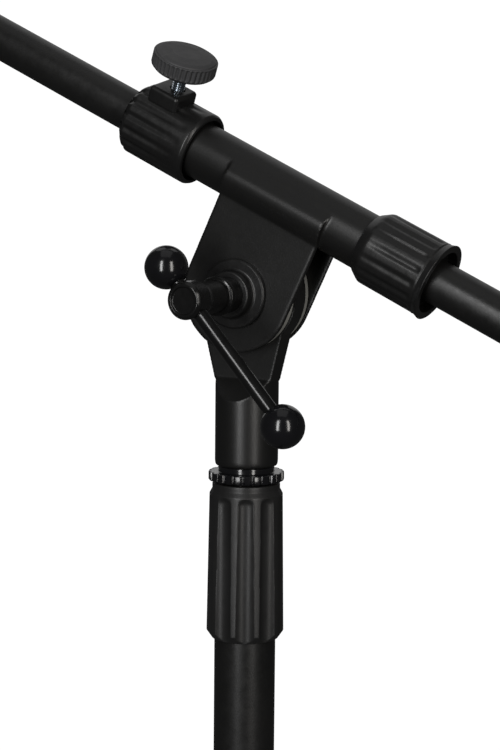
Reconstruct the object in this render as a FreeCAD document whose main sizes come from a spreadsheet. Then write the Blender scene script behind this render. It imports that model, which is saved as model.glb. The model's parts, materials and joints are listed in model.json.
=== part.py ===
import FreeCAD, Part
import os
import re
import Sketcher
from FreeCAD import Placement, Rotation, Vector

# Boom microphone stand: a folding tripod, an upright that telescopes and turns under a
# twist clutch, and a boom that tilts on a T-bar clamp and slides through a sleeve.
# Millimetres and degrees. +Z is up, the origin is on the floor on the upright's axis.
# The boom lies in the XZ plane with its microphone end towards -X, and it tilts about Y.
# The T-bar is on the -Y side.

SIZES = {
    # whole stand, at its lowest height
    "pivot_height": 960.0,
    "boom_tilt": 25.1,
    "boom_offset": 46.0,
    # boom tube, measured along it from the point above the tilt pivot
    "boom_radius": 9.525,
    "boom_wall": 1.2,
    "boom_front": 640.0,
    "boom_rear": 260.0,
    "plug_length": 25.0,
    "adapter_length": 8.0,
    "thread_radius": 7.94,
    "thread_length": 16.0,
    "thread_chamfer": 1.0,
    "cap_radius": 10.2,
    "cap_length": 8.0,
    "cap_round": 2.0,
    # saddle: the sleeve that the boom slides in, and its two cheeks, which lap on to its sides
    "sleeve_radius": 12.7,
    "sleeve_wall": 1.5,
    "sleeve_half": 60.0,
    "liner_length": 14.0,
    "liner_bore": 9.6,
    "cheek_half": 26.3,
    "cheek_inner": 9.4,
    "cheek_outer": 11.9,
    "cheek_gap": 2.5,
    "lap_rise": 20.0,
    # moulded collars on the sleeve's ends
    "collar_bore": 9.9,
    "front_collar_start": 84.4,
    "front_collar_end": 47.7,
    "front_collar_radius": 16.9,
    "front_mouth_radius": 14.6,
    "front_mouth_depth": 5.0,
    "rear_collar_start": 43.3,
    "rear_collar_end": 79.4,
    "rear_collar_radius": 16.5,
    "rear_collar_flare": 0.4,
    "rear_collar_nose": 5.0,
    "rear_lip_radius": 17.5,
    "rear_lip_length": 3.0,
    "rear_lip_slope": 0.6,
    "rear_mouth_radius": 14.2,
    "rear_mouth_depth": 5.0,
    "collar_round": 3.5,
    # thumbscrew on the front collar
    "screw_along": 68.0,
    "screw_turn": 15.0,
    "lug_half_length": 7.0,
    "lug_half_width": 6.5,
    "lug_top": 20.3,
    "nut_radius": 5.6,
    "nut_bottom": 11.5,
    "nut_top": 16.0,
    "screw_radius": 2.95,
    "nut_bore": 3.0,
    "screw_hole": 3.3,
    "pad_radius": 2.8,
    "pad_bottom": 9.6,
    "pad_top": 11.4,
    "screw_bottom": 11.5,
    "screw_top": 34.0,
    "knob_bottom": 30.0,
    "knob_side": 37.6,
    "knob_top": 39.4,
    "knob_radius": 14.6,
    "knob_cap_radius": 13.5,
    "knob_round": 1.2,
    "knob_step": 0.3,
    "knob_dome_width": 1.5,
    "knob_dome_fall": 0.6,
    # tilt clamp, measured outwards from the middle of the pivot
    "bolt_radius": 4.0,
    "bolt_play": 0.05,
    "bolt_reach": 36.0,
    "bolt_head_radius": 10.0,
    "bolt_head_height": 4.5,
    "bolt_edge_height": 1.3,
    "bolt_crown_height": 4.0,
    "bolt_crown_radius": 6.0,
    "bolt_square": 8.2,
    "pivot_bore": 4.08,
    "washer_bore": 4.2,
    "washer_start": 11.95,
    "washer_end": 14.5,
    "washer_radius": 15.4,
    "boss_end": 19.5,
    "boss_radius": 10.3,
    "boss_fillet": 1.2,
    "hub_start": 19.6,
    "hub_root_radius": 8.0,
    "hub_chamfer": 1.0,
    "flange_start": 27.4,
    "flange_end": 29.6,
    "flange_radius": 8.6,
    "neck_radius": 7.3,
    "head_start": 47.0,
    "head_end": 57.8,
    "head_radius": 8.2,
    "head_recess_radius": 6.0,
    "head_recess_depth": 1.0,
    "hub_bore_depth": 38.0,
    "bar_distance": 51.5,
    "bar_angle": 48.6,
    "bar_radius": 3.2,
    "bar_bore": 3.25,
    "bar_short": 17.7,
    "bar_long": 67.3,
    "ball_radius": 9.4,
    "ball_bite": 3.0,
    # yoke that carries the pivot, measured from the pivot
    "tongue_half": 4.8,
    "tongue_radius": 26.5,
    "disc_radius": 25.5,
    "disc_outer": 9.2,
    "neck_half_top": 19.7,
    "neck_drop_top": 17.5,
    "shank_radius": 14.2,
    "shoulder_drop": 38.4,
    "scallop_drop": 47.6,
    "shank_drop": 78.0,
    "shank_round": 2.0,
    "socket_drop": 50.0,
    # lock ring under the yoke
    "ring_boss_radius": 12.6,
    "ring_radius": 17.0,
    "ring_chamfer": 0.6,
    "ring_top_drop": 80.6,
    "ring_bottom_drop": 84.6,
    "ring_notches": 24,
    "ring_notch_radius": 0.9,
    # sliding inner tube and the bushing at its foot
    "inner_radius": 10.0,
    "inner_wall": 1.5,
    "inner_bottom": 140.0,
    "stopper_length": 15.0,
    "stopper_flange": 4.0,
    "stopper_radius": 11.2,
    "bushing_bottom": 140.3,
    "bushing_top": 165.0,
    "bushing_bore": 10.06,
    "bushing_radius": 12.3,
    "clip_bottom": 165.3,
    "clip_top": 167.3,
    # twist clutch, measured down from the pivot
    "grip_top_drop": 85.6,
    "grip_neck_drop": 88.3,
    "grip_shoulder_drop": 90.6,
    "grip_edge_drop": 153.6,
    "grip_bottom_drop": 156.8,
    "grip_neck_radius": 15.25,
    "grip_shoulder_radius": 16.5,
    "grip_edge_radius": 17.45,
    "grip_lip_radius": 15.0,
    "grip_bore": 14.2,
    "grip_thread": 13.6,
    "grip_thread_drop": 112.0,
    "grip_cone_drop": 98.0,
    "grip_cone_top_drop": 92.0,
    "grip_cone_radius": 11.2,
    "grip_top_bore": 10.6,
    "flute_count": 10,
    "flute_radius": 5.9,
    "flute_circle": 21.0,
    "flute_stop": 1.0,
    "flute_facing": -62.0,
    "insert_bottom_drop": 140.0,
    "insert_flange_drop": 112.3,
    "insert_flange_radius": 13.8,
    "insert_thread_radius": 13.5,
    "insert_top_drop": 99.0,
    "insert_seat_drop": 104.0,
    "insert_seat_low": 10.9,
    "insert_seat_high": 13.0,
    "insert_bore": 10.08,
    "collet_bottom_drop": 103.6,
    "collet_belly_drop": 99.5,
    "collet_neck_drop": 97.0,
    "collet_top_drop": 93.0,
    "collet_low_radius": 10.7,
    "collet_belly_radius": 12.4,
    "collet_top_radius": 11.0,
    "collet_slit": 1.2,
    # lower tube and the base hub
    "lower_radius": 13.85,
    "lower_wall": 1.5,
    "lower_bottom": 66.0,
    "lower_top_drop": 115.0,
    "foot_plug_length": 12.0,
    "foot_plug_flange": 4.0,
    "hub_core_radius": 24.0,
    "hub_core_top": 116.0,
    "hub_core_slope": 3.0,
    "hub_collar_radius": 18.0,
    "hub_collar_top": 126.0,
    "ear_start": 16.0,
    "ear_end": 48.0,
    "ear_bottom": 84.0,
    "ear_corner": 90.0,
    "ear_top": 110.0,
    "ear_half_width": 14.0,
    "slot_start": 27.0,
    "slot_half_width": 8.2,
    "slot_roof": 106.2,
    "slot_lip_start": 45.0,
    "slot_lip_bottom": 103.5,
    "pin_distance": 38.0,
    "pin_height": 96.0,
    "pin_radius": 3.0,
    "pin_half_length": 14.0,
    "pin_cap_radius": 5.0,
    "pin_cap_height": 1.5,
    # legs, measured along each leg from its hinge pin
    "leg_length": 299.5,
    "leg_slope": 16.6,
    "leg_radius": 9.0,
    "leg_wall": 1.2,
    "leg_start": 20.0,
    "eye_radius": 9.5,
    "eye_half_width": 7.9,
    "eye_neck": 14.0,
    "eye_bore": 3.06,
    "spigot_end": 45.0,
    "leg_cut_back": 4.0,
    "boot_radius": 12.0,
    "boot_length": 42.0,
    # how far joined features run into one another, and how far a cut runs past a face
    "overlap": 1.0,
    "overcut": 1.0,
    # long enough to cut right through any piece
    "through": 200.0,
}

LEG_AZIMUTHS = {"leg_front": 180.0, "leg_left": 300.0, "leg_right": 60.0}

doc = FreeCAD.newDocument("BoomStand")
sheet = doc.addObject("Spreadsheet::Sheet", "Sizes")
for row, (alias, number) in enumerate(SIZES.items(), start=1):
    sheet.set("A%d" % row, alias)
    sheet.set("B%d" % row, str(number))
    sheet.setAlias("B%d" % row, alias)
doc.recompute()


def size(text):
    """The number that an expression in the sheet's aliases stands for."""
    return float(sheet.evalExpression(text))


def bound(text):
    """The same expression as another object of the document has to write it."""
    def prefixed(word):
        return "Sizes." + word.group() if word.group() in SIZES else word.group()
    return re.sub(r"[a-z][a-z_]+", prefixed, text)


def pivot_place():
    """The tilt pivot, with the stand's own directions."""
    return Placement(Vector(0, 0, size("pivot_height")), Rotation())


def saddle_place():
    """The tilt pivot, with X along the boom to the rear and Z square to it, upwards."""
    return Placement(Vector(0, 0, size("pivot_height")), Rotation(Vector(0, 1, 0), size("boom_tilt")))


def boom_place():
    """The boom's axis above the pivot, with Z along the boom to the rear."""
    turn = Rotation(Vector(0, 1, 0), 90)
    return saddle_place().multiply(Placement(Vector(0, 0, size("boom_offset")), turn))


def collar_place():
    """The boom's axis, with X along it to the rear and Z along the thumbscrew."""
    turn = Rotation(Vector(1, 0, 0), size("screw_turn"))
    return saddle_place().multiply(Placement(Vector(0, 0, size("boom_offset")), turn))


def screw_place():
    """The thumbscrew's axis where it crosses the boom's, with Z along the screw."""
    return collar_place().multiply(Placement(Vector(-size("screw_along"), 0, 0), Rotation()))


def clamp_place():
    """The tilt pivot, with Z along the clamp's axis, out to the T-bar."""
    return Placement(Vector(0, 0, size("pivot_height")), Rotation(Vector(1, 0, 0), 90))


def bar_place():
    """The T-bar's axis where it crosses the clamp's, with Z down the bar."""
    place = Vector(0, -size("bar_distance"), size("pivot_height"))
    return Placement(place, Rotation(Vector(0, 1, 0), 90 + size("bar_angle")))


def leg_place(azimuth):
    """A leg's hinge pin, with Y along the pin and Z down the leg."""
    around = Rotation(Vector(0, 0, 1), azimuth)
    pin = around.multVec(Vector(size("pin_distance"), 0, size("pin_height")))
    return Placement(pin, around.multiply(Rotation(Vector(0, 1, 0), 90 + size("leg_slope"))))


def origin_feature(body, role):
    """One of a body's own origin planes or axes."""
    return next(item for item in body.Origin.OriginFeatures if item.Role == role)


def new_body(label, place):
    """An empty PartDesign body in its place."""
    body = doc.addObject("PartDesign::Body", label)
    body.Label = label
    body.Placement = place
    return body


def new_sketch(body, plane):
    """A sketch on one of the body's origin planes."""
    sketch = body.newObject("Sketcher::SketchObject", body.Label + "_sketch")
    sketch.AttachmentSupport = [(origin_feature(body, plane), "")]
    sketch.MapMode = "FlatFace"
    return sketch


def bind(sketch, kind, element, point, text):
    """One dimension of a sketch, bound to the sheet."""
    if kind == "Radius":
        rule = Sketcher.Constraint(kind, element, size(text))
    else:
        rule = Sketcher.Constraint(kind, -1, 1, element, point, size(text))
    place = sketch.addConstraint(rule)
    sketch.setExpression("Constraints[%d]" % place, bound(text))


def outline(body, plane, corners):
    """A closed outline of straight lines, each corner bound to the sheet."""
    sketch = new_sketch(body, plane)
    spots = [Vector(size(across), size(along), 0) for across, along in corners]
    count = len(corners)
    for index in range(count):
        line = Part.LineSegment(spots[index], spots[(index + 1) % count])
        sketch.addGeometry(line, False)
    for index in range(count):
        sketch.addConstraint(Sketcher.Constraint("Coincident", index, 2, (index + 1) % count, 1))
    for index, (across, along) in enumerate(corners):
        bind(sketch, "DistanceX", index, 1, across)
        bind(sketch, "DistanceY", index, 1, along)
    doc.recompute()
    return sketch


def square(half):
    """The corners of a square about its middle."""
    return [("-" + half, "-" + half), (half, "-" + half), (half, half), ("-" + half, half)]


def hexagon(radius, across="0"):
    """The corners of a hexagon about a point on the first axis."""
    return [("%s + %s * cos(%d deg)" % (across, radius, angle), "%s * sin(%d deg)" % (radius, angle))
            for angle in range(0, 360, 60)]


def disc(body, plane, radius, across="0", along="0"):
    """A circle whose centre and radius are bound to the sheet."""
    sketch = new_sketch(body, plane)
    centre = Vector(size(across), size(along), 0)
    sketch.addGeometry(Part.Circle(centre, Vector(0, 0, 1), size(radius)), False)
    bind(sketch, "Radius", 0, 0, radius)
    bind(sketch, "DistanceX", 0, 3, across)
    bind(sketch, "DistanceY", 0, 3, along)
    doc.recompute()
    return sketch


def revolve(body, sketch, axis="V_Axis"):
    """The sketch turned once round, added to the body."""
    feature = body.newObject("PartDesign::Revolution", body.Label + "_turned")
    feature.Profile = sketch
    feature.ReferenceAxis = (sketch, [axis])
    feature.Angle = 360
    doc.recompute()
    return feature


def pad(body, sketch, length, both_ways=False):
    """The sketch thickened to a length bound to the sheet."""
    feature = body.newObject("PartDesign::Pad", body.Label + "_pad")
    feature.Profile = sketch
    feature.SideType = "Symmetric" if both_ways else "One side"
    feature.setExpression("Length", bound(length))
    doc.recompute()
    return feature


def shrunk(body, before, feature):
    """Stops if a cut took nothing away."""
    if not body.Shape.Volume < before - 1e-3:
        raise RuntimeError(feature.Label + " cuts nothing")
    return feature


def pocket(body, sketch, length="through * 2", forwards=False, both_ways=False):
    """A cut of a given length, to either side of the sketch or shared between both."""
    before = body.Shape.Volume
    feature = body.newObject("PartDesign::Pocket", body.Label + "_pocket")
    feature.Profile = sketch
    feature.SideType = "Symmetric" if both_ways else "One side"
    feature.Reversed = forwards
    feature.setExpression("Length", bound(length))
    doc.recompute()
    return shrunk(body, before, feature)


def groove(body, sketch, axis="V_Axis"):
    """A cut turned once round."""
    before = body.Shape.Volume
    feature = body.newObject("PartDesign::Groove", body.Label + "_groove")
    feature.Profile = sketch
    feature.ReferenceAxis = (sketch, [axis])
    feature.Angle = 360
    doc.recompute()
    return shrunk(body, before, feature)


def around(body, features, count):
    """The same features again, evenly round the body's Z axis."""
    pattern = body.newObject("PartDesign::PolarPattern", body.Label + "_pattern")
    pattern.Originals = features
    pattern.Axis = (origin_feature(body, "Z_Axis"), [""])
    pattern.Angle = 360
    pattern.setExpression("Occurrences", bound(count))
    body.Tip = pattern
    doc.recompute()
    return pattern


def turned(label, place, profile):
    """A turned piece: its profile is corners of radius and height about Z."""
    body = new_body(label, place)
    revolve(body, outline(body, "XZ_Plane", profile))
    return body


def ring(label, place, bore, radius, start, end):
    """A plain tube, washer or ring between two heights."""
    return turned(label, place, [(bore, start), (radius, start), (radius, end), (bore, end)])


def cylinder(name, place, radius, length):
    """A Part cylinder along Z, bound to the sheet."""
    item = doc.addObject("Part::Cylinder", name)
    item.setExpression("Radius", bound(radius))
    item.setExpression("Height", bound(length))
    item.Placement = place
    return item


def sphere(name, place, radius):
    """A Part sphere, bound to the sheet."""
    item = doc.addObject("Part::Sphere", name)
    item.setExpression("Radius", bound(radius))
    item.Placement = place
    return item


def cut(label, base, tool):
    """One Part object minus another."""
    item = doc.addObject("Part::Cut", label)
    item.Label = label
    item.Base = base
    item.Tool = tool
    return item


def together(label, items):
    """Several separate solids of one kind as one node."""
    compound = doc.addObject("Part::Compound", label)
    compound.Label = label
    compound.Links = items
    doc.recompute()
    return compound


def shifted(place, along):
    """A place moved along its own Z."""
    return place.multiply(Placement(Vector(0, 0, along), Rotation()))


def boom_parts():
    """The boom tube with its threaded microphone end and its rear cap."""
    place = boom_place()
    inside = "boom_radius - boom_wall"
    tube = ring("boom_tube", place, inside, "boom_radius", "-boom_front", "boom_rear")
    shoulder = "-boom_front - adapter_length"
    tip = shoulder + " - thread_length"
    adapter = turned("mic_adapter", place, [
        ("0", "-boom_front + plug_length"), (inside, "-boom_front + plug_length"),
        (inside, "-boom_front"), ("boom_radius", "-boom_front"), ("boom_radius", shoulder),
        ("thread_radius", shoulder), ("thread_radius", tip + " + thread_chamfer"),
        ("thread_radius - thread_chamfer", tip), ("0", tip)])
    end = "boom_rear + cap_length"
    cap = turned("rear_cap", place, [
        ("0", "boom_rear - plug_length"), (inside, "boom_rear - plug_length"),
        (inside, "boom_rear"), ("cap_radius", "boom_rear"),
        ("cap_radius", end + " - cap_round"), ("cap_radius - cap_round", end), ("0", end)])
    return [tube, adapter, cap]


def cheek(label, across, sleeve_across, outwards, bolt_hole):
    """One side plate of the saddle, its top lapped on to the sleeve's side and welded."""
    body = new_body(label, saddle_place().multiply(Placement(Vector(0, across, 0), Rotation())))
    plate = outline(body, "XZ_Plane", [
        ("-cheek_half", "0"), ("cheek_half", "0"),
        ("cheek_half", "boom_offset - cheek_gap"), ("-cheek_half", "boom_offset - cheek_gap")])
    pad(body, plate, "cheek_outer - cheek_inner")
    pad(body, disc(body, "XZ_Plane", "cheek_half"), "cheek_outer - cheek_inner")
    lapped = "sleeve_radius + cheek_outer - cheek_inner"
    lap = disc(body, "YZ_Plane", lapped, sleeve_across, "boom_offset")
    pad(body, lap, "cheek_half * 2", both_ways=True)
    welded = disc(body, "YZ_Plane", "sleeve_radius", sleeve_across, "boom_offset")
    pocket(body, welded, both_ways=True)
    far = "2 * sleeve_radius"
    unwanted = [("cheek_inner", "-" + far), ("cheek_inner", "cheek_inner * tan(lap_rise * 1 deg)"),
                (far, far + " * tan(lap_rise * 1 deg)"), (far, far), ("-" + far, far),
                ("-" + far, "-" + far)]
    pocket(body, outline(body, "YZ_Plane", [
        ("%s + %s * (%s)" % (sleeve_across, outwards, out), "boom_offset + (%s)" % up)
        for out, up in unwanted]), both_ways=True)
    if bolt_hole == "round":
        pocket(body, disc(body, "XZ_Plane", "bolt_radius"), both_ways=True)
    else:
        pocket(body, outline(body, "XZ_Plane", square("bolt_square / 2")), both_ways=True)
    return body


def front_collar():
    """Moulded collar with the thumbscrew's lug and a trap for its nut."""
    body = new_body("front_collar", collar_place())
    start, end = "-front_collar_start", "-front_collar_end"
    revolve(body, outline(body, "XZ_Plane", [
        (start, "0"), (start, "front_collar_radius - collar_round"),
        (start + " + collar_round / 3", "front_collar_radius - collar_round / 3"),
        (start + " + collar_round", "front_collar_radius"),
        (end, "front_collar_radius"), (end, "0")]), "H_Axis")
    low = "-screw_along - lug_half_length"
    high = "-screw_along + lug_half_length"
    lug = outline(body, "XY_Plane", [
        (low, "-lug_half_width"), (high, "-lug_half_width"),
        (high, "lug_half_width"), (low, "lug_half_width")])
    pad(body, lug, "lug_top")
    mouth = end + " - front_mouth_depth"
    groove(body, outline(body, "XZ_Plane", [
        (start, "0"), (start, "collar_bore"), ("-sleeve_half", "collar_bore"),
        ("-sleeve_half", "sleeve_radius"), (mouth, "sleeve_radius"),
        (mouth, "front_mouth_radius"), (end, "front_mouth_radius"), (end, "0")]), "H_Axis")
    pocket(body, disc(body, "XY_Plane", "screw_hole", "-screw_along"), "through", forwards=True)
    trap = outline(body, "XY_Plane", hexagon("nut_radius", "-screw_along"))
    pocket(body, trap, "nut_top", forwards=True)
    return body


def captive_nut():
    """The hexagonal nut that the thumbscrew runs in."""
    body = new_body("captive_nut", shifted(screw_place(), size("nut_bottom")))
    pad(body, outline(body, "XY_Plane", hexagon("nut_radius")), "nut_top - nut_bottom")
    pocket(body, disc(body, "XY_Plane", "nut_bore"), both_ways=True)
    return body


def rear_collar():
    """Moulded collar on the sleeve's rear end, with an open lipped mouth."""
    start, end = "rear_collar_start", "rear_collar_end"
    mouth = end + " - rear_mouth_depth"
    return turned("rear_collar", boom_place(), [
        ("sleeve_radius", start), ("rear_collar_radius - rear_collar_nose / 2", start),
        ("rear_collar_radius - rear_collar_nose / 6", start + " + rear_collar_nose / 3"),
        ("rear_collar_radius", start + " + rear_collar_nose"),
        ("rear_collar_radius + rear_collar_flare", end + " - rear_lip_length"),
        ("rear_lip_radius", end + " - rear_lip_length + rear_lip_slope"), ("rear_lip_radius", end),
        ("rear_mouth_radius", end), ("rear_mouth_radius", mouth), ("collar_bore", mouth),
        ("collar_bore", "sleeve_half"), ("sleeve_radius", "sleeve_half")])


def saddle_parts():
    """The sleeve, its cheeks, collars and liners, and the bolt through the cheeks."""
    place = boom_place()
    inside = "sleeve_radius - sleeve_wall"
    sleeve = ring("sleeve", place, inside, "sleeve_radius", "-sleeve_half", "sleeve_half")
    front = cheek("cheek_front", -size("cheek_inner"), "cheek_inner", "-1", "round")
    rear = cheek("cheek_rear", size("cheek_outer"), "-cheek_outer", "1", "square")
    liners = together("boom_liners", [
        ring("liner_front", place, "liner_bore", inside, "-sleeve_half", "-sleeve_half + liner_length"),
        ring("liner_rear", place, "liner_bore", inside, "sleeve_half - liner_length", "sleeve_half")])
    return [sleeve, front, rear, liners, front_collar(), rear_collar(), captive_nut(), clamp_bolt()]


def clamp_bolt():
    """Carriage bolt: a low head outside the rear cheek, a square neck and the shaft."""
    body = turned("clamp_bolt", clamp_place(), [
        ("0", "-cheek_outer - bolt_head_height"),
        ("bolt_crown_radius", "-cheek_outer - bolt_crown_height"),
        ("bolt_head_radius", "-cheek_outer - bolt_edge_height"),
        ("bolt_head_radius", "-cheek_outer"), ("bolt_radius", "-cheek_outer"),
        ("bolt_radius", "bolt_reach"), ("0", "bolt_reach")])
    neck = outline(body, "XY_Plane", square("bolt_square / 2"))
    neck.AttachmentOffset = Placement(Vector(0, 0, -size("cheek_outer")), Rotation())
    pad(body, neck, "cheek_outer - cheek_inner")
    body.Placement = clamp_place().multiply(Placement(Vector(), Rotation(Vector(0, 0, 1), -size("boom_tilt"))))
    return body


def clamp_parts():
    """The thrust washer, the hub that screws on to the bolt, and the sliding T-bar."""
    place = clamp_place()
    washer = turned("clamp_washer", place, [
        ("washer_bore", "washer_start"), ("washer_radius", "washer_start"),
        ("washer_radius", "washer_end"), ("boss_radius + boss_fillet", "washer_end"),
        ("boss_radius", "washer_end + boss_fillet"), ("boss_radius", "boss_end"), ("washer_bore", "boss_end")])
    hub = turned("clamp_hub", place, [
        ("bolt_radius + bolt_play", "hub_start"), ("hub_root_radius", "hub_start"),
        ("neck_radius", "flange_start - hub_chamfer"), ("flange_radius", "flange_start"),
        ("flange_radius", "flange_end"), ("neck_radius", "flange_end + hub_chamfer"),
        ("neck_radius", "head_start"), ("head_radius", "head_start + hub_chamfer"),
        ("head_radius", "head_end - hub_chamfer"), ("head_radius - hub_chamfer", "head_end"),
        ("head_recess_radius", "head_end"), ("head_recess_radius", "head_end - head_recess_depth"),
        ("0", "head_end - head_recess_depth"), ("0", "hub_bore_depth"),
        ("bolt_radius + bolt_play", "hub_bore_depth")])
    pocket(hub, disc(hub, "YZ_Plane", "bar_bore", "0", "bar_distance"), both_ways=True)
    hub.Placement = place.multiply(Placement(Vector(), Rotation(Vector(0, 0, 1), -size("bar_angle"))))
    start = bar_place()
    rod = bar_rod(start)
    balls = together("bar_balls", [ball("ball_short", start, -1, "bar_short"),
                                   ball("ball_long", start, 1, "bar_long")])
    return [washer, hub, rod, balls]


def bar_rod(place):
    """The T-bar's solid rod, its ends inside the balls."""
    return turned("t_bar", place, [
        ("0", "-bar_short - ball_bite"), ("bar_radius", "-bar_short - ball_bite"),
        ("bar_radius", "bar_long + ball_bite"), ("0", "bar_long + ball_bite")])


def ball(name, place, side, distance):
    """One ball of the T-bar, with the blind hole that its rod is fixed in."""
    reach = side * size(distance)
    body = sphere(name + "_body", shifted(place, reach), "ball_radius")
    turn = Placement(Vector(0, 0, reach + side * size("ball_bite")),
                     Rotation(Vector(1, 0, 0), 180 if side > 0 else 0))
    hole = cylinder(name + "_hole", place.multiply(turn), "bar_radius", "ball_radius * 2")
    return cut(name, body, hole)


def pressure_parts():
    """The pad that bears on the boom, and the thumbscrew with its knob."""
    place = screw_place()
    bearing = turned("pressure_pad", place, [
        ("0", "pad_bottom"), ("pad_radius", "pad_bottom"), ("pad_radius", "pad_top"), ("0", "pad_top")])
    screw = turned("thumb_screw", place, [
        ("0", "screw_bottom"), ("screw_radius", "screw_bottom"), ("screw_radius", "screw_top"),
        ("0", "screw_top")])
    knob = turned("thumb_knob", place, [
        ("screw_radius", "knob_bottom"), ("knob_radius - knob_round", "knob_bottom"),
        ("knob_radius", "knob_bottom + knob_round"), ("knob_radius", "knob_side"),
        ("knob_cap_radius", "knob_side + knob_step"),
        ("knob_cap_radius - knob_dome_width", "knob_top - knob_dome_fall"),
        ("knob_cap_radius / 2", "knob_top"), ("0", "knob_top"), ("0", "screw_top"),
        ("screw_radius", "screw_top")])
    return [bearing, screw, knob]


def yoke():
    """Die-cast yoke: a round tongue between the cheeks that runs down into a shank."""
    body = new_body("yoke", pivot_place())
    revolve(body, outline(body, "XZ_Plane", [
        ("0", "-shoulder_drop"), ("0", "-socket_drop"), ("inner_radius", "-socket_drop"),
        ("inner_radius", "-shank_drop"), ("shank_radius - shank_round", "-shank_drop"),
        ("shank_radius - shank_round / 3", "-shank_drop + shank_round / 3"),
        ("shank_radius", "-shank_drop + shank_round"), ("shank_radius", "-shoulder_drop")]))
    for side in ("1", "-1"):
        scallop = outline(body, "YZ_Plane", [
            (side + " * tongue_half", "-shoulder_drop"),
            (side + " * (shank_radius + overcut)", "-shoulder_drop"),
            (side + " * (shank_radius + overcut)", "-scallop_drop - overcut")])
        pocket(body, scallop, both_ways=True)
    neck = outline(body, "XZ_Plane", [
        ("-shank_radius", "-shoulder_drop - overlap"), ("shank_radius", "-shoulder_drop - overlap"),
        ("neck_half_top", "-neck_drop_top"), ("-neck_half_top", "-neck_drop_top")])
    pad(body, neck, "tongue_half * 2", both_ways=True)
    pad(body, disc(body, "XZ_Plane", "tongue_radius"), "tongue_half * 2", both_ways=True)
    pocket(body, disc(body, "XZ_Plane", "pivot_bore"), both_ways=True)
    return body


def lock_ring():
    """Notched ring on the inner tube that jams under the yoke."""
    place = shifted(pivot_place(), -size("ring_bottom_drop"))
    height = "ring_bottom_drop - ring_top_drop"
    top = "ring_bottom_drop - shank_drop"
    body = turned("lock_ring", place, [
        ("inner_radius", "0"), ("ring_radius - ring_chamfer", "0"), ("ring_radius", "ring_chamfer"),
        ("ring_radius", height), ("ring_boss_radius", height), ("ring_boss_radius", top),
        ("inner_radius", top)])
    notch = pocket(body, disc(body, "XY_Plane", "ring_notch_radius", "ring_radius"), height, forwards=True)
    around(body, [notch], "ring_notches")
    return body


def friction_disc(name, start, end):
    """One friction disc between the tongue and a cheek."""
    return ring(name, clamp_place(), "pivot_bore", "disc_radius", start, end)


def upper_parts():
    """What turns and rises with the inner tube: yoke, ring, tube, discs and fittings."""
    ground = Placement()
    inside = "inner_radius - inner_wall"
    tube = ring("inner_tube", ground, inside, "inner_radius", "inner_bottom",
                "pivot_height - socket_drop")
    stopper = turned("tube_stopper", ground, [
        ("0", "inner_bottom - stopper_flange"), ("stopper_radius", "inner_bottom - stopper_flange"),
        ("stopper_radius", "inner_bottom"), (inside, "inner_bottom"),
        (inside, "inner_bottom + stopper_length"), ("0", "inner_bottom + stopper_length")])
    clip = ring("bushing_clip", ground, "inner_radius", "stopper_radius", "clip_bottom", "clip_top")
    discs = together("friction_discs", [
        friction_disc("friction_front", "tongue_half", "disc_outer"),
        friction_disc("friction_rear", "-disc_outer", "-tongue_half")])
    return [tube, stopper, clip, yoke(), lock_ring(), discs]


def bushing():
    """Guide bushing at the inner tube's foot, which slides in the lower tube."""
    return ring("guide_bushing", Placement(), "bushing_bore", "bushing_radius",
                "bushing_bottom", "bushing_top")


def clutch_grip():
    """Fluted grip that screws down over the collet."""
    place = shifted(pivot_place(), -size("grip_bottom_drop"))
    place = place.multiply(Placement(Vector(), Rotation(Vector(0, 0, 1), size("flute_facing"))))
    up = {name: "grip_bottom_drop - " + name for name in (
        "grip_top_drop", "grip_neck_drop", "grip_shoulder_drop", "grip_edge_drop",
        "grip_thread_drop", "grip_cone_drop", "grip_cone_top_drop")}
    body = turned("clutch_grip", place, [
        ("grip_bore", "0"), ("grip_lip_radius", "0"), ("grip_edge_radius", up["grip_edge_drop"]),
        ("grip_shoulder_radius", up["grip_shoulder_drop"]),
        ("grip_neck_radius", up["grip_neck_drop"]), ("grip_neck_radius", up["grip_top_drop"]),
        ("grip_top_bore", up["grip_top_drop"]), ("grip_top_bore", up["grip_cone_top_drop"]),
        ("grip_cone_radius", up["grip_cone_top_drop"]), ("grip_thread", up["grip_cone_drop"]),
        ("grip_thread", up["grip_thread_drop"]), ("grip_bore", up["grip_thread_drop"])])
    cutter = disc(body, "XY_Plane", "flute_radius", "flute_circle")
    flute = pocket(body, cutter, up["grip_shoulder_drop"] + " - flute_stop", forwards=True)
    around(body, [flute], "flute_count")
    return body


def collet():
    """Split collet that the grip squeezes on to the inner tube."""
    body = turned("clutch_collet", pivot_place(), [
        ("insert_bore", "-collet_bottom_drop"), ("collet_low_radius", "-collet_bottom_drop"),
        ("collet_belly_radius", "-collet_belly_drop"), ("collet_belly_radius", "-collet_neck_drop"),
        ("collet_top_radius", "-collet_top_drop"), ("insert_bore", "-collet_top_drop")])
    half = "collet_slit / 2"
    slit = outline(body, "YZ_Plane", [
        ("-" + half, "-collet_bottom_drop - overcut"), (half, "-collet_bottom_drop - overcut"),
        (half, "-collet_top_drop + overcut"), ("-" + half, "-collet_top_drop + overcut")])
    pocket(body, slit, "through", forwards=True)
    return body


def clutch_insert():
    """Threaded insert fixed in the lower tube's top, with the collet's seat."""
    return turned("clutch_insert", pivot_place(), [
        ("insert_bore", "-insert_bottom_drop"), ("lower_radius - lower_wall", "-insert_bottom_drop"),
        ("lower_radius - lower_wall", "-lower_top_drop"), ("insert_flange_radius", "-lower_top_drop"),
        ("insert_flange_radius", "-insert_flange_drop"),
        ("insert_thread_radius", "-insert_flange_drop"), ("insert_thread_radius", "-insert_top_drop"),
        ("insert_seat_high", "-insert_top_drop"), ("insert_seat_low", "-insert_seat_drop"),
        ("insert_bore", "-insert_seat_drop")])


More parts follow.
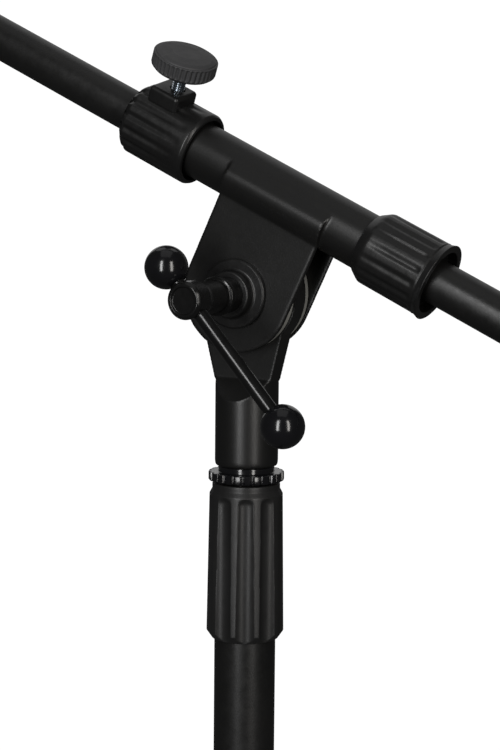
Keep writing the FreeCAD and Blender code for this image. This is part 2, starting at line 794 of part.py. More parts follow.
def base_hub():
    """Die-cast hub: a core on the lower tube and three slotted ears for the legs."""
    facing = Placement(Vector(), Rotation(Vector(0, 0, 1), LEG_AZIMUTHS["leg_front"]))
    body = turned("base_hub", facing, [
        ("0", "lower_bottom"), ("hub_core_radius", "lower_bottom"),
        ("hub_core_radius", "hub_core_top"), ("hub_collar_radius", "hub_core_top + hub_core_slope"),
        ("hub_collar_radius", "hub_collar_top"), ("0", "hub_collar_top")])
    ear = pad(body, outline(body, "XZ_Plane", [
        ("ear_start", "ear_bottom"), ("pin_distance", "ear_bottom"), ("ear_end", "ear_corner"),
        ("ear_end", "ear_top"), ("ear_start", "ear_top")]), "ear_half_width * 2", both_ways=True)
    slot = pocket(body, outline(body, "XZ_Plane", [
        ("slot_start", "0"), ("through", "0"), ("through", "slot_lip_bottom"),
        ("slot_lip_start", "slot_lip_bottom"), ("slot_lip_start", "slot_roof"),
        ("slot_start", "slot_roof")]), "slot_half_width * 2", both_ways=True)
    pin_hole = disc(body, "XZ_Plane", "pin_radius", "pin_distance", "pin_height")
    hole = pocket(body, pin_hole, "ear_half_width * 2 + overcut * 2", both_ways=True)
    around(body, [ear, slot, hole], "3")
    pocket(body, disc(body, "XY_Plane", "lower_radius"), "through * 2", both_ways=True)
    return body


def along_pin(azimuth, start):
    """A place on a leg's hinge pin, with Z along the pin."""
    turn = Rotation(Vector(1, 0, 0), -90)
    return leg_place(azimuth).multiply(Placement(Vector(0, size(start), 0), turn))


def base_parts():
    """What stands still: hub, lower tube with its plug and clutch insert, and hinge pins."""
    ground = Placement()
    bore = "lower_radius - lower_wall"
    tube = ring("lower_tube", ground, bore, "lower_radius", "lower_bottom",
                "pivot_height - lower_top_drop")
    plug = turned("lower_plug", ground, [
        ("0", "lower_bottom - foot_plug_flange"),
        ("hub_collar_radius", "lower_bottom - foot_plug_flange"),
        ("hub_collar_radius", "lower_bottom"), (bore, "lower_bottom"),
        (bore, "lower_bottom + foot_plug_length"), ("0", "lower_bottom + foot_plug_length")])
    pins = []
    caps = []
    for name, azimuth in LEG_AZIMUTHS.items():
        pins.append(cylinder(name + "_pin", along_pin(azimuth, "-pin_half_length"),
                             "pin_radius", "pin_half_length * 2"))
        for side, start in (("a", "pin_half_length"), ("b", "-pin_half_length - pin_cap_height")):
            caps.append(cylinder(name + "_cap_" + side, along_pin(azimuth, start),
                                 "pin_cap_radius", "pin_cap_height"))
    return [base_hub(), tube, plug, clutch_insert(), together("hinge_pins", pins),
            together("pin_caps", caps)]


def leg_lug(name, azimuth):
    """Flat-sided eye on the hinge pin, with a spigot for the leg's tube."""
    body = new_body(name + "_lug", leg_place(azimuth))
    pad(body, disc(body, "XZ_Plane", "eye_radius"), "eye_half_width * 2", both_ways=True)
    pad(body, outline(body, "XZ_Plane", [
        ("-leg_radius", "0"), ("leg_radius", "0"), ("leg_radius", "eye_neck"),
        ("-leg_radius", "eye_neck")]), "eye_half_width * 2", both_ways=True)
    spigot = "leg_radius - leg_wall"
    revolve(body, outline(body, "XZ_Plane", [
        ("0", "eye_neck - overlap"), (spigot, "eye_neck - overlap"), (spigot, "eye_neck"),
        ("leg_radius", "eye_neck"), ("leg_radius", "leg_start"), (spigot, "leg_start"),
        (spigot, "spigot_end"), ("0", "spigot_end")]))
    pocket(body, disc(body, "XZ_Plane", "eye_bore"), "through", both_ways=True)
    return body


def leg_boot(name, azimuth):
    """Rubber boot over the end of a leg, flat where it meets the floor."""
    place = leg_place(azimuth)
    start = size("leg_length - boot_length")
    whole = doc.addObject("Part::Fuse", name + "_boot_whole")
    whole.Base = cylinder(name + "_boot_sleeve", shifted(place, start), "boot_radius", "boot_length")
    whole.Tool = sphere(name + "_boot_tip", shifted(place, size("leg_length")), "boot_radius")
    hole = cylinder(name + "_boot_hole", shifted(place, start), "leg_radius",
                    "boot_length - leg_cut_back")
    hollow = cut(name + "_boot_hollow", whole, hole)
    floor = doc.addObject("Part::Box", name + "_floor")
    for side in ("Length", "Width", "Height"):
        floor.setExpression(side, bound("boot_length * 2"))
    tip = shifted(place, size("leg_length")).Base
    half = size("boot_length")
    floor.Placement = Placement(Vector(tip.x - half, tip.y - half, -2 * half), Rotation())
    return cut(name + "_boot", hollow, floor)


def leg_parts():
    """Each leg: its hinge lug, its tube and its boot."""
    parts = []
    for name, azimuth in LEG_AZIMUTHS.items():
        parts.append(leg_lug(name, azimuth))
        parts.append(ring(name + "_tube", leg_place(azimuth), "leg_radius - leg_wall",
                          "leg_radius", "leg_start", "leg_length - leg_cut_back"))
        parts.append(leg_boot(name, azimuth))
    return parts


def finish(nodes):
    """Checks every object and sub-part, then writes each sub-part's STEP file."""
    doc.recompute()
    for item in doc.Objects:
        if "Invalid" in item.State or "Error" in item.State:
            raise RuntimeError("%s: %s" % (item.Label, item.State))
    os.makedirs("parts", exist_ok=True)
    for node in nodes:
        shape = node.Shape
        if shape.isNull() or not shape.isValid() or not shape.Solids:
            raise RuntimeError(node.Label + " has no valid shape")
        shape.exportStep("parts/%s.step" % node.Label)
        print("%-16s solids %d volume %.0f" % (node.Label, len(shape.Solids), shape.Volume))


finish(base_parts() + leg_parts() + [collet(), clutch_grip(), bushing()] + upper_parts()
       + saddle_parts() + clamp_parts() + pressure_parts() + boom_parts())
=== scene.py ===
import json
import math

import bmesh
import bpy
from mathutils import Matrix, Vector

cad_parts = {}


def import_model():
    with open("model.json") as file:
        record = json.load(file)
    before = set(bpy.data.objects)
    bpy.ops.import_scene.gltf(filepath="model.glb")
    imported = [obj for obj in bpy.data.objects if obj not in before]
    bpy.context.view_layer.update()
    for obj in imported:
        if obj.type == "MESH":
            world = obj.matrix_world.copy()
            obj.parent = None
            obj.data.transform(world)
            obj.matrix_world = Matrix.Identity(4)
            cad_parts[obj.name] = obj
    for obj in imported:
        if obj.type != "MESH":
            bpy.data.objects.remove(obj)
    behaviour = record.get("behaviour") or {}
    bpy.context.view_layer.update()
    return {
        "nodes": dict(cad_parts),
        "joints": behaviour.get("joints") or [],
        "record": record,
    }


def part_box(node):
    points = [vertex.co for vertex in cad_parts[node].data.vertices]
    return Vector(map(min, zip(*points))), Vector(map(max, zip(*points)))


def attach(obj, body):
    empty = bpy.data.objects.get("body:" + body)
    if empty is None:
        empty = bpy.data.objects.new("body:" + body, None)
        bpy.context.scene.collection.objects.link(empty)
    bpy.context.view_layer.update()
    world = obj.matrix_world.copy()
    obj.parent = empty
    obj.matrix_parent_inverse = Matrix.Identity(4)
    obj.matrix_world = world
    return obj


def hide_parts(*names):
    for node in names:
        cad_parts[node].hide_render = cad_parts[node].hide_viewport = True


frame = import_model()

# Boom microphone stand, in metres. Lengths below are in millimetres, times MM.
MM = 0.001
TINY = 1e-7
JOINTS = {joint["name"]: joint for joint in frame["joints"]}
MOUNTS = {mount["name"]: mount for mount in frame["record"]["mounts"]}
LEGS = ("leg_front", "leg_left", "leg_right")

# Dimensions that several pieces share
BOOM_WALL = 1.2 * MM
UPRIGHT_WALL = 1.5 * MM
COLLAR_BORE = 9.9 * MM
COLLAR_RIBS = 16
MOUTH_DEPTH = 5 * MM
CHEEK_INNER = 9.4 * MM
CHEEK_OUTER = 11.9 * MM
TONGUE_HALF = 4.8 * MM
BOLT_HOLE = 4.2 * MM
EAR_INNER = 8.4 * MM
EAR_OUTER = 14.0 * MM

# How finely round shapes are divided, and the angle from which an edge stays sharp
FULL_TURN = math.tau
SIDES = 96
FINE_SIDES = 256
ROUND_STEPS = 5
CURVE_STEPS = 48
SHARP_ANGLE = math.radians(32)
THROUGH = 20 * MM


def joint_axis(name):
    """The direction a joint turns about or slides along."""
    return Vector(JOINTS[name]["axis"]).normalized()


def joint_point(name):
    """A point on a hinge's axis."""
    return Vector(JOINTS[name]["pos_m"])


def place_at(origin, along, side):
    """A place with Z along one direction and X as near as can be to another."""
    z = Vector(along).normalized()
    x = (Vector(side) - z * z.dot(side)).normalized()
    turn = Matrix((x, z.cross(x), z)).transposed()
    return Matrix.Translation(origin) @ turn.to_4x4()


UP = Vector((0, 0, 1))
SIDEWAYS = Vector((0, -1, 0))
PIVOT = joint_point("boom_tilt")
MIC_WAY = joint_axis("boom_slide")
SCREW_WAY = joint_axis("thumbscrew_turn")
SCREW_POINT = joint_point("thumbscrew_turn")
BOOM_POINT = SCREW_POINT + MIC_WAY * MIC_WAY.dot(PIVOT - SCREW_POINT)

GROUND = Matrix.Identity(4)
PIVOT_PLACE = Matrix.Translation(PIVOT)
# Z runs along the boom to the rear, X away from the pivot
BOOM_PLACE = place_at(BOOM_POINT, -MIC_WAY, BOOM_POINT - PIVOT)
# the same line, with X along the thumbscrew
COLLAR_PLACE = place_at(BOOM_POINT, -MIC_WAY, SCREW_WAY)
SCREW_PLACE = place_at(SCREW_POINT, SCREW_WAY, -MIC_WAY)
# Z runs out from the pivot towards the T-bar, X along the boom to the rear
CLAMP_PLACE = place_at(PIVOT, joint_axis("clamp_turn"), -MIC_WAY)


def span(node, place):
    """Lowest and highest height of a CAD node on a place's Z, and its reach from that axis."""
    inverse = place.inverted()
    points = [inverse @ vertex.co for vertex in frame["nodes"][node].data.vertices]
    heights = [point.z for point in points]
    return min(heights), max(heights), max(math.hypot(point.x, point.y) for point in points)


def rounded(corners):
    """A closed line through corners of (radius, height, rounding), each corner rounded."""
    line = []
    for index, (across, along, rounding) in enumerate(corners):
        here = Vector((across, along))
        before = Vector(corners[index - 1][:2]) - here
        after = Vector(corners[(index + 1) % len(corners)][:2]) - here
        if rounding < TINY or before.length < TINY or after.length < TINY:
            line.append(here)
            continue
        half = before.angle(after) / 2
        back = min(rounding / math.tan(half), 0.49 * before.length, 0.49 * after.length)
        start, end = here + before.normalized() * back, here + after.normalized() * back
        weight = math.sin(half)
        for step in range(ROUND_STEPS + 1):
            t = step / ROUND_STEPS
            a, b, c = (1 - t) ** 2, 2 * weight * t * (1 - t), t * t
            line.append((start * a + here * b + end * c) / (a + b + c))
    return line


def divided(line, longest):
    """The same closed line with no stretch longer than given."""
    result = []
    for index, here in enumerate(line):
        after = line[(index + 1) % len(line)]
        result.append(here)
        on_axis = here.x < TINY and after.x < TINY
        count = 1 if on_axis else math.ceil((after - here).length / longest - TINY)
        result += [here.lerp(after, step / count) for step in range(1, count)]
    return result


def lathe(corners, place, sides=SIDES, shape=None, longest=None):
    """A turned closed mesh. shape(radius, height, angle) gives a point's own radius."""
    mesh = bmesh.new()
    line = rounded(corners)
    if longest:
        line = divided(line, longest)
    rings = []
    for radius, height in line:
        if radius < TINY:
            rings.append([mesh.verts.new((0, 0, height))])
            continue
        turn = []
        for side in range(sides):
            angle = FULL_TURN * side / sides
            reach = shape(radius, height, angle) if shape else radius
            turn.append(mesh.verts.new((reach * math.cos(angle), reach * math.sin(angle), height)))
        rings.append(turn)
    for lower, upper in zip(rings, rings[1:] + rings[:1]):
        if len(lower) == 1 and len(upper) == 1:
            continue
        for side in range(sides):
            after = (side + 1) % sides
            corner = [lower[side % len(lower)], lower[after % len(lower)],
                      upper[after % len(upper)], upper[side % len(upper)]]
            mesh.faces.new(list(dict.fromkeys(corner)))
    bmesh.ops.recalc_face_normals(mesh, faces=mesh.faces)
    mesh.transform(place)
    return mesh


def prism(outline, low, high, place):
    """An outline of (x, y) thickened from one height of a place to another."""
    mesh = bmesh.new()
    bottom = [mesh.verts.new((x, y, low)) for x, y in outline]
    top = [mesh.verts.new((x, y, high)) for x, y in outline]
    mesh.faces.new(bottom)
    mesh.faces.new(top)
    for index in range(len(outline)):
        after = (index + 1) % len(outline)
        mesh.faces.new((bottom[index], bottom[after], top[after], top[index]))
    bmesh.ops.recalc_face_normals(mesh, faces=mesh.faces)
    mesh.transform(place)
    return mesh


def block(low, high, place):
    """A box between two corners of a place."""
    outline = [(low[0], low[1]), (high[0], low[1]), (high[0], high[1]), (low[0], high[1])]
    return prism(outline, low[2], high[2], place)


def tube_profile(bore, radius, low, high, rounding):
    """The profile of a plain tube or ring."""
    return [(bore, low, rounding), (radius, low, rounding),
            (radius, high, rounding), (bore, high, rounding)]


def rod_profile(radius, low, high, rounding):
    """The profile of a solid rod."""
    return [(0, low, 0), (radius, low, rounding), (radius, high, rounding), (0, high, 0)]


def one_mesh(meshes):
    """Several bmeshes as one."""
    whole = bmesh.new()
    for mesh in meshes:
        data = bpy.data.meshes.new("part")
        mesh.to_mesh(data)
        mesh.free()
        whole.from_mesh(data)
        bpy.data.meshes.remove(data)
    return whole


def new_object(name, mesh):
    """An object from a bmesh, which it uses up."""
    data = bpy.data.meshes.new(name)
    mesh.to_mesh(data)
    mesh.free()
    thing = bpy.data.objects.new(name, data)
    bpy.context.scene.collection.objects.link(thing)
    return thing


def apply_modifiers(thing):
    """Makes an object's modifiers part of its mesh."""
    graph = bpy.context.evaluated_depsgraph_get()
    data = bpy.data.meshes.new_from_object(thing.evaluated_get(graph))
    old = thing.data
    thing.modifiers.clear()
    thing.data = data
    bpy.data.meshes.remove(old)


def carve(thing, mesh):
    """Cuts a closed mesh out of an object."""
    tool = new_object("tool", mesh)
    cutting = thing.modifiers.new("carve", "BOOLEAN")
    cutting.operation = "DIFFERENCE"
    cutting.solver = "EXACT"
    cutting.object = tool
    apply_modifiers(thing)
    bpy.data.objects.remove(tool)


def carved(mesh, *tools):
    """A plain bmesh with closed meshes cut out of it, before it is joined with others."""
    thing = new_object("blank", mesh)
    for tool in tools:
        carve(thing, tool)
    result = bmesh.new()
    result.from_mesh(thing.data)
    bpy.data.objects.remove(thing)
    return result


def melt(thing, voxel, passes):
    """Joins overlapping closed shapes into one skin, with softened edges and inner corners."""
    joining = thing.modifiers.new("melt", "REMESH")
    joining.mode = "VOXEL"
    joining.voxel_size = voxel
    apply_modifiers(thing)
    softening = thing.modifiers.new("soften", "SMOOTH")
    softening.factor = 0.5
    softening.iterations = passes
    apply_modifiers(thing)


def holed(mesh, radius, place):
    """A plain bmesh with a round hole through it along a place's Z."""
    return carved(mesh, lathe(rod_profile(radius, -THROUGH, THROUGH, 0), place, sides=CURVE_STEPS))


# ---------------------------------------------------------------- materials

def link(tree, source, target):
    """Joins one node's socket to another's."""
    tree.links.new(source, target)


def noise(tree, coordinates, scale, detail, roughness=0.55):
    """A noise pattern on the object's own coordinates."""
    node = tree.nodes.new("ShaderNodeTexNoise")
    node.inputs["Scale"].default_value = scale
    node.inputs["Detail"].default_value = detail
    node.inputs["Roughness"].default_value = roughness
    link(tree, coordinates, node.inputs["Vector"])
    return node.outputs["Fac"]


def ranged(tree, source, low, high, start=0.3, end=0.7):
    """A pattern stretched to a range of values."""
    node = tree.nodes.new("ShaderNodeMapRange")
    for socket, number in (("From Min", start), ("From Max", end), ("To Min", low), ("To Max", high)):
        node.inputs[socket].default_value = number
    link(tree, source, node.inputs["Value"])
    return node.outputs["Result"]


def mixed(tree, factor, first, second):
    """Two colours mixed by a pattern. A colour may be a socket."""
    node = tree.nodes.new("ShaderNodeMix")
    node.data_type = "RGBA"
    link(tree, factor, node.inputs["Factor"])
    inputs = [item for item in node.inputs if item.type == "RGBA"]
    for socket, colour in zip(inputs, (first, second)):
        if isinstance(colour, (tuple, list)):
            socket.default_value = (*colour, 1)
        else:
            link(tree, colour, socket)
    return next(item for item in node.outputs if item.type == "RGBA")


def scaled(colour, factor):
    """A colour made lighter or darker."""
    return tuple(min(1.0, part * factor) for part in colour)


def bump(tree, height, distance):
    """A bump from a pattern."""
    node = tree.nodes.new("ShaderNodeBump")
    node.inputs["Distance"].default_value = distance
    link(tree, height, node.inputs["Height"])
    return node.outputs["Normal"]


def surface(name, colour, roughness, grain, depth, uneven=0.05, mottle=0.25, wear=0.0,
            wear_colour=(0.25, 0.25, 0.25), metallic=0.0, specular=0.5, coat=0.0, coat_roughness=0.1):
    """A finish with grain, uneven gloss, slightly uneven colour and worn edges.

    grain is the size of the bumps in metres and depth their height."""
    material = bpy.data.materials.new(name)
    material.use_nodes = True
    tree = material.node_tree
    shader = tree.nodes["Principled BSDF"]
    coordinates = tree.nodes.new("ShaderNodeTexCoord").outputs["Object"]
    broad = noise(tree, coordinates, 35, 4)
    middle = noise(tree, coordinates, 260, 3)
    fine = noise(tree, coordinates, 1 / grain, 2)
    tint = mixed(tree, ranged(tree, broad, 0, 1), scaled(colour, 1 - mottle), scaled(colour, 1 + mottle))
    tint = mixed(tree, ranged(tree, fine, 0, 0.5), tint, scaled(colour, 1 + mottle * 2))
    gloss = ranged(tree, middle, roughness - uneven, roughness + uneven)
    if wear > 0:
        edges = tree.nodes.new("ShaderNodeNewGeometry").outputs["Pointiness"]
        broken = tree.nodes.new("ShaderNodeMath")
        broken.operation = "MULTIPLY"
        link(tree, ranged(tree, edges, 0, wear, 0.53, 0.62), broken.inputs[0])
        link(tree, ranged(tree, middle, 0.2, 1, 0.4, 0.6), broken.inputs[1])
        tint = mixed(tree, broken.outputs[0], tint, wear_colour)
    link(tree, tint, shader.inputs["Base Color"])
    link(tree, gloss, shader.inputs["Roughness"])
    link(tree, bump(tree, fine, depth), shader.inputs["Normal"])
    shader.inputs["Metallic"].default_value = metallic
    shader.inputs["Specular IOR Level"].default_value = specular
    if coat > 0:
        shader.inputs["Coat Weight"].default_value = coat
        shader.inputs["Coat Roughness"].default_value = coat_roughness
    return material


def tube_black():
    """Satin powder coat on tubes."""
    return surface("tube_black", (0.008, 0.008, 0.0078), 0.36, 0.0009, 0.00003, specular=0.55)


def cast_black():
    """Satin coat on castings and pressed plates, a little rougher than the tubes."""
    return surface("cast_black", (0.008, 0.008, 0.0078), 0.36, 0.0007, 0.00004, uneven=0.015, mottle=0.1,
                   wear=0.35, wear_colour=(0.09, 0.09, 0.09), specular=0.5)


def moulded_black():
    """Semi-gloss moulded plastic."""
    return surface("moulded_black", (0.009, 0.009, 0.009), 0.34, 0.0012, 0.00003, wear=0.2,
                   wear_colour=(0.06, 0.06, 0.06))


def grip_black():
    """Satin moulded plastic with a fine spark-eroded grain."""
    return surface("grip_black", (0.016, 0.016, 0.016), 0.38, 0.0005, 0.00004, wear=0.25,
                   wear_colour=(0.06, 0.06, 0.06))


def gloss_black():
    """Polished black on the balls and the lock ring."""
    return surface("gloss_black", (0.006, 0.006, 0.007), 0.17, 0.004, 0.00006, uneven=0.04,
                   coat=0.3, coat_roughness=0.12)


def bar_black():
    """Gloss black plate on the clamp's hub and the T-bar."""
    return surface("bar_black", (0.006, 0.006, 0.006), 0.20, 0.003, 0.00002, uneven=0.04)


def bolt_black():
    """Black oxide on turned steel."""
    return surface("bolt_black", (0.022, 0.022, 0.022), 0.34, 0.0008, 0.00002, wear=0.4,
                   wear_colour=(0.16, 0.16, 0.16), metallic=0.3)


def knob_grey():
    """Fine-grained dark grey moulding."""
    return surface("knob_grey", (0.045, 0.045, 0.047), 0.55, 0.0004, 0.00005, wear=0.3,
                   wear_colour=(0.12, 0.12, 0.12))


def steel_zinc():
    """Bright zinc plate."""
    return surface("steel_zinc", (0.60, 0.66, 0.72), 0.22, 0.0006, 0.00002, metallic=1.0, mottle=0.12)


def adapter_steel():
    """Machined steel."""
    return surface("adapter_steel", (0.45, 0.45, 0.46), 0.28, 0.0005, 0.00002, metallic=1.0, mottle=0.12)


def nylon_pale():
    """Natural nylon."""
    return surface("nylon_pale", (0.60, 0.59, 0.55), 0.45, 0.001, 0.00003, mottle=0.06)


def friction_grey():
    """Grey friction fibre."""
    return surface("friction_grey", (0.28, 0.28, 0.26), 0.75, 0.0003, 0.0001, mottle=0.25)


def boot_rubber():
    """Matte black rubber."""
    return surface("boot_rubber", (0.020, 0.020, 0.020), 0.72, 0.0006, 0.00006, mottle=0.3,
                   wear=0.4, wear_colour=(0.07, 0.068, 0.065))


FINISHES = {make.__name__: make() for make in (
    tube_black, cast_black, moulded_black, grip_black, gloss_black, bar_black, bolt_black,
    knob_grey, steel_zinc, adapter_steel, nylon_pale, friction_grey, boot_rubber)}


def piece(name, mesh, slot, body, *nodes):
    """A finished piece from a bmesh or an object, on its body, for the CAD nodes it stands for."""
    thing = mesh if isinstance(mesh, bpy.types.Object) else new_object(name, mesh)
    thing.name = thing.data.name = name
    thing.data.shade_smooth()
    thing.data.set_sharp_from_angle(angle=SHARP_ANGLE)
    weighting = thing.modifiers.new("normals", "WEIGHTED_NORMAL")
    weighting.keep_sharp = True
    thing.data.materials.clear()
    thing.data.materials.append(FINISHES[slot])
    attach(thing, body)
    if nodes:
        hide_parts(*nodes)


# ---------------------------------------------------------------- camera and light

def camera():
    """A long lens that looks at the saddle from a little above the tilt pivot."""
    azimuth, elevation, roll = (math.radians(angle) for angle in (28.131, 7.102, 0.537))
    distance, across, down = 0.87574, 0.00089, 0.03703
    back = Vector((math.sin(azimuth) * math.cos(elevation),
                   -math.cos(azimuth) * math.cos(elevation), math.sin(elevation)))
    level = Vector((math.cos(azimuth), math.sin(azimuth), 0))
    above = back.cross(level)
    right = level * math.cos(roll) + above * math.sin(roll)
    top = above * math.cos(roll) - level * math.sin(roll)
    data = bpy.data.cameras.new("camera")
    data.lens = 94.54
    data.clip_start, data.clip_end = 0.05, 50
    thing = bpy.data.objects.new("camera", data)
    bpy.context.scene.collection.objects.link(thing)
    spot = PIVOT + back * distance + right * across - top * down
    thing.matrix_world = Matrix.Translation(spot) @ Matrix((right, top, back)).transposed().to_4x4()
    bpy.context.scene.camera = thing


def softbox(name, azimuth, elevation, distance, width, height, power, tint=(1, 1, 1)):
    """A rectangular light aimed at the tilt pivot, placed round it in degrees."""
    data = bpy.data.lights.new(name, "AREA")
    data.shape = "RECTANGLE"
    data.size, data.size_y = width, height
    data.energy = power
    data.color = tint
    thing = bpy.data.objects.new(name, data)
    bpy.context.scene.collection.objects.link(thing)
    a, e = math.radians(azimuth), math.radians(elevation)
    back = Vector((math.sin(a) * math.cos(e), -math.cos(a) * math.cos(e), math.sin(e)))
    thing.location = PIVOT + back * distance
    thing.rotation_mode = "QUATERNION"
    thing.rotation_quaternion = back.to_track_quat("Z", "Y")
    thing.visible_camera = False


def world():
    """A surround that is white to the camera and much dimmer as a light."""
    as_light, as_seen = 0.035, 1.05
    scene_world = bpy.data.worlds.new("surround")
    bpy.context.scene.world = scene_world
    scene_world.use_nodes = True
    tree = scene_world.node_tree
    shader = tree.nodes["Background"]
    shader.inputs["Color"].default_value = (1, 1, 1, 1)
    path = tree.nodes.new("ShaderNodeLightPath")
    bright = ranged(tree, path.outputs["Is Camera Ray"], as_light, as_seen, 0, 1)
    link(tree, bright, shader.inputs["Strength"])


def floor():
    """A round pale floor that fades into the surround and does not show in the black finishes."""
    radius, clear = 2.1, 1.2
    mesh = bmesh.new()
    bmesh.ops.create_circle(mesh, cap_ends=True, segments=SIDES, radius=radius)
    thing = new_object("floor", mesh)
    material = bpy.data.materials.new("floor_pale")
    material.use_nodes = True
    tree = material.node_tree
    shader = tree.nodes["Principled BSDF"]
    coordinates = tree.nodes.new("ShaderNodeTexCoord").outputs["Object"]
    grain = noise(tree, coordinates, 3, 3)
    link(tree, mixed(tree, ranged(tree, grain, 0, 1), (0.86, 0.86, 0.86), (0.90, 0.90, 0.89)),
         shader.inputs["Base Color"])
    shader.inputs["Roughness"].default_value = 0.6
    shader.inputs["Emission Color"].default_value = (1, 1, 1, 1)
    shader.inputs["Emission Strength"].default_value = 0.45
    reach = tree.nodes.new("ShaderNodeVectorMath")
    reach.operation = "LENGTH"
    link(tree, coordinates, reach.inputs[0])
    link(tree, ranged(tree, reach.outputs["Value"], 1, 0, clear, radius * 0.98), shader.inputs["Alpha"])
    thing.data.materials.append(material)
    thing.visible_glossy = thing.visible_diffuse = False


def lights():
    """Two upright softboxes either side of the camera, one overhead and a rear rim."""
    softbox("box_left", 3, 11, 1.6, 0.30, 1.45, 14.0)
    softbox("box_right", 57, 10, 1.6, 0.28, 1.40, 9.5, (1.0, 0.97, 0.93))
    softbox("box_top", 20, 80, 1.5, 1.2, 1.2, 1.2)
    softbox("backdrop", 208, 36, 2.2, 2.5, 3.0, 10.5)
    bpy.context.scene.view_settings.view_transform = "Standard"


# ---------------------------------------------------------------- boom

def boom_tube():
    """The long tube that slides through the saddle."""
    low, high, radius = span("boom_tube", BOOM_PLACE)
    mesh = lathe(tube_profile(radius - BOOM_WALL, radius, low, high, 0.3 * MM), BOOM_PLACE)
    piece("boom_tube_skin", mesh, "tube_black", "boom", "boom_tube")


def thread_shape(pitch, depth, crest, low, high):
    """A shape for lathe() that turns a plain side into a screw thread between two heights."""
    def shape(radius, height, angle):
        if radius < crest - TINY or not low <= height <= high:
            return radius
        phase = (height / pitch - angle / FULL_TURN) % 1
        run_out = min(1, (height - low) / pitch, (high - height) / pitch)
        return radius - depth * run_out * min(1, max(0, abs(2 * phase - 1) * 1.5 - 0.25))
    return shape


def mic_adapter():
    """The turned adapter in the boom's front end, with its microphone thread."""
    low, high, radius = span("mic_adapter", BOOM_PLACE)
    front = span("boom_tube", BOOM_PLACE)[0]
    crest = MOUNTS["mic_thread"]["dims"]["r_mm"] * MM
    shoulder = front - 8 * MM
    pitch, inside, groove = 25.4 / 27 * MM, radius - BOOM_WALL, radius - 0.5 * MM
    corners = [(0, low, 0), (crest - 1 * MM, low, 0.2 * MM), (crest, low + 1 * MM, 0.1 * MM),
               (crest, shoulder - 1.2 * MM, 0), (crest - 0.6 * MM, shoulder - 1.1 * MM, 0),
               (crest - 0.6 * MM, shoulder, 0), (radius, shoulder, 0.5 * MM),
               (radius, shoulder + 2.4 * MM, 0.2 * MM), (groove, shoulder + 2.7 * MM, 0.1 * MM),
               (groove, shoulder + 3.2 * MM, 0.1 * MM), (radius, shoulder + 3.5 * MM, 0.2 * MM),
               (radius, front, 0.2 * MM), (inside, front, 0), (inside, high, 0.5 * MM), (0, high, 0)]
    shape = thread_shape(pitch, 0.55 * MM, crest, low + 0.8 * MM, shoulder - 1.2 * MM)
    mesh = lathe(corners, BOOM_PLACE, shape=shape, longest=pitch / 8)
    piece("mic_adapter_turned", mesh, "adapter_steel", "boom", "mic_adapter")


def rear_cap():
    """The moulded cap in the boom's rear end."""
    low, high, radius = span("rear_cap", BOOM_PLACE)
    seat = span("boom_tube", BOOM_PLACE)[1]
    inside = span("boom_tube", BOOM_PLACE)[2] - BOOM_WALL
    corners = [(0, low, 0), (inside - 0.5 * MM, low, 0.5 * MM), (inside, low + 3 * MM, 0.2 * MM),
               (inside, seat, 0), (radius, seat, 0.4 * MM), (radius, high - 2 * MM, 1.5 * MM),
               (radius - 2 * MM, high, 1.0 * MM), (radius - 4.5 * MM, high, 0.3 * MM),
               (radius - 5 * MM, high - 0.6 * MM, 0.3 * MM), (0, high - 0.6 * MM, 0)]
    piece("rear_cap_moulded", lathe(corners, BOOM_PLACE), "moulded_black", "boom", "rear_cap")


# ---------------------------------------------------------------- saddle

def lap_outline(sleeve, inner, outer, way):
    """The lap of a cheek on the sleeve's side, in section: outwards and up from the boom's axis.

    It rises out of the sleeve, has its full thickness further down, and turns there to hang straight."""
    thick, arc_steps, bend_steps = outer - inner, 24, 8
    rise, full, turn = math.radians(30), math.radians(-6), math.radians(-38)
    arc = [rise + (turn - rise) * step / arc_steps for step in range(arc_steps + 1)]
    line = []
    for angle in arc:
        weld = min(1, (rise - angle) / (rise - full))
        reach = sleeve + thick * weld * weld * (3 - 2 * weld)
        line.append((reach * math.cos(angle), reach * math.sin(angle)))
    start = Vector(line[-1])
    low = Vector((outer, start.y - 2 * thick))
    slope = Vector((math.sin(turn), -math.cos(turn)))
    bend = start + slope * ((outer - start.x) / slope.x)
    for step in range(1, bend_steps + 1):
        t = step / bend_steps
        line.append(tuple(start * (1 - t) ** 2 + bend * 2 * t * (1 - t) + low * t * t))
    line.append((inner, low.y))
    seat = sleeve - 0.4 * MM
    line += [(seat * math.cos(angle), seat * math.sin(angle)) for angle in reversed(arc)]
    return [(way * x, y) for x, y in line]


def saddle_shell():
    """The sleeve with its two cheeks, which are lapped and welded on to its sides."""
    low, high, radius = span("sleeve", BOOM_PLACE)
    bore, half = radius - UPRIGHT_WALL, 26.3 * MM
    shapes = [lathe(tube_profile(bore, radius, low, high, 0.3 * MM), BOOM_PLACE)]
    drop = (BOOM_POINT - PIVOT).length
    flat = place_at(PIVOT, SIDEWAYS, -MIC_WAY)
    above = 1 if (flat @ Vector((0, 1, 0)) - PIVOT).dot(BOOM_POINT - PIVOT) > 0 else -1
    curve = [(half * math.cos(angle), half * math.sin(angle))
             for angle in (math.pi * step / CURVE_STEPS - math.pi for step in range(CURVE_STEPS + 1))]
    top = drop - 6 * MM
    plate = [(x, above * y) for x, y in curve + [(half, top), (-half, top)]]
    across = place_at(BOOM_POINT, -MIC_WAY, SIDEWAYS)
    lap_up = 1 if (across @ Vector((0, 1, 0)) - BOOM_POINT).dot(BOOM_POINT - PIVOT) > 0 else -1
    for way in (1, -1):
        shapes.append(holed(prism(plate, way * CHEEK_INNER, way * CHEEK_OUTER, flat), BOLT_HOLE, flat))
        lap = [(x, lap_up * y) for x, y in lap_outline(radius, CHEEK_INNER, CHEEK_OUTER, way)]
        shapes.append(prism(lap, -half, half, across))
    thing = new_object("saddle_shell", one_mesh(shapes))
    melt(thing, 0.6 * MM, 3)
    piece("saddle_shell", thing, "cast_black", "saddle", "sleeve", "cheek_front", "cheek_rear")


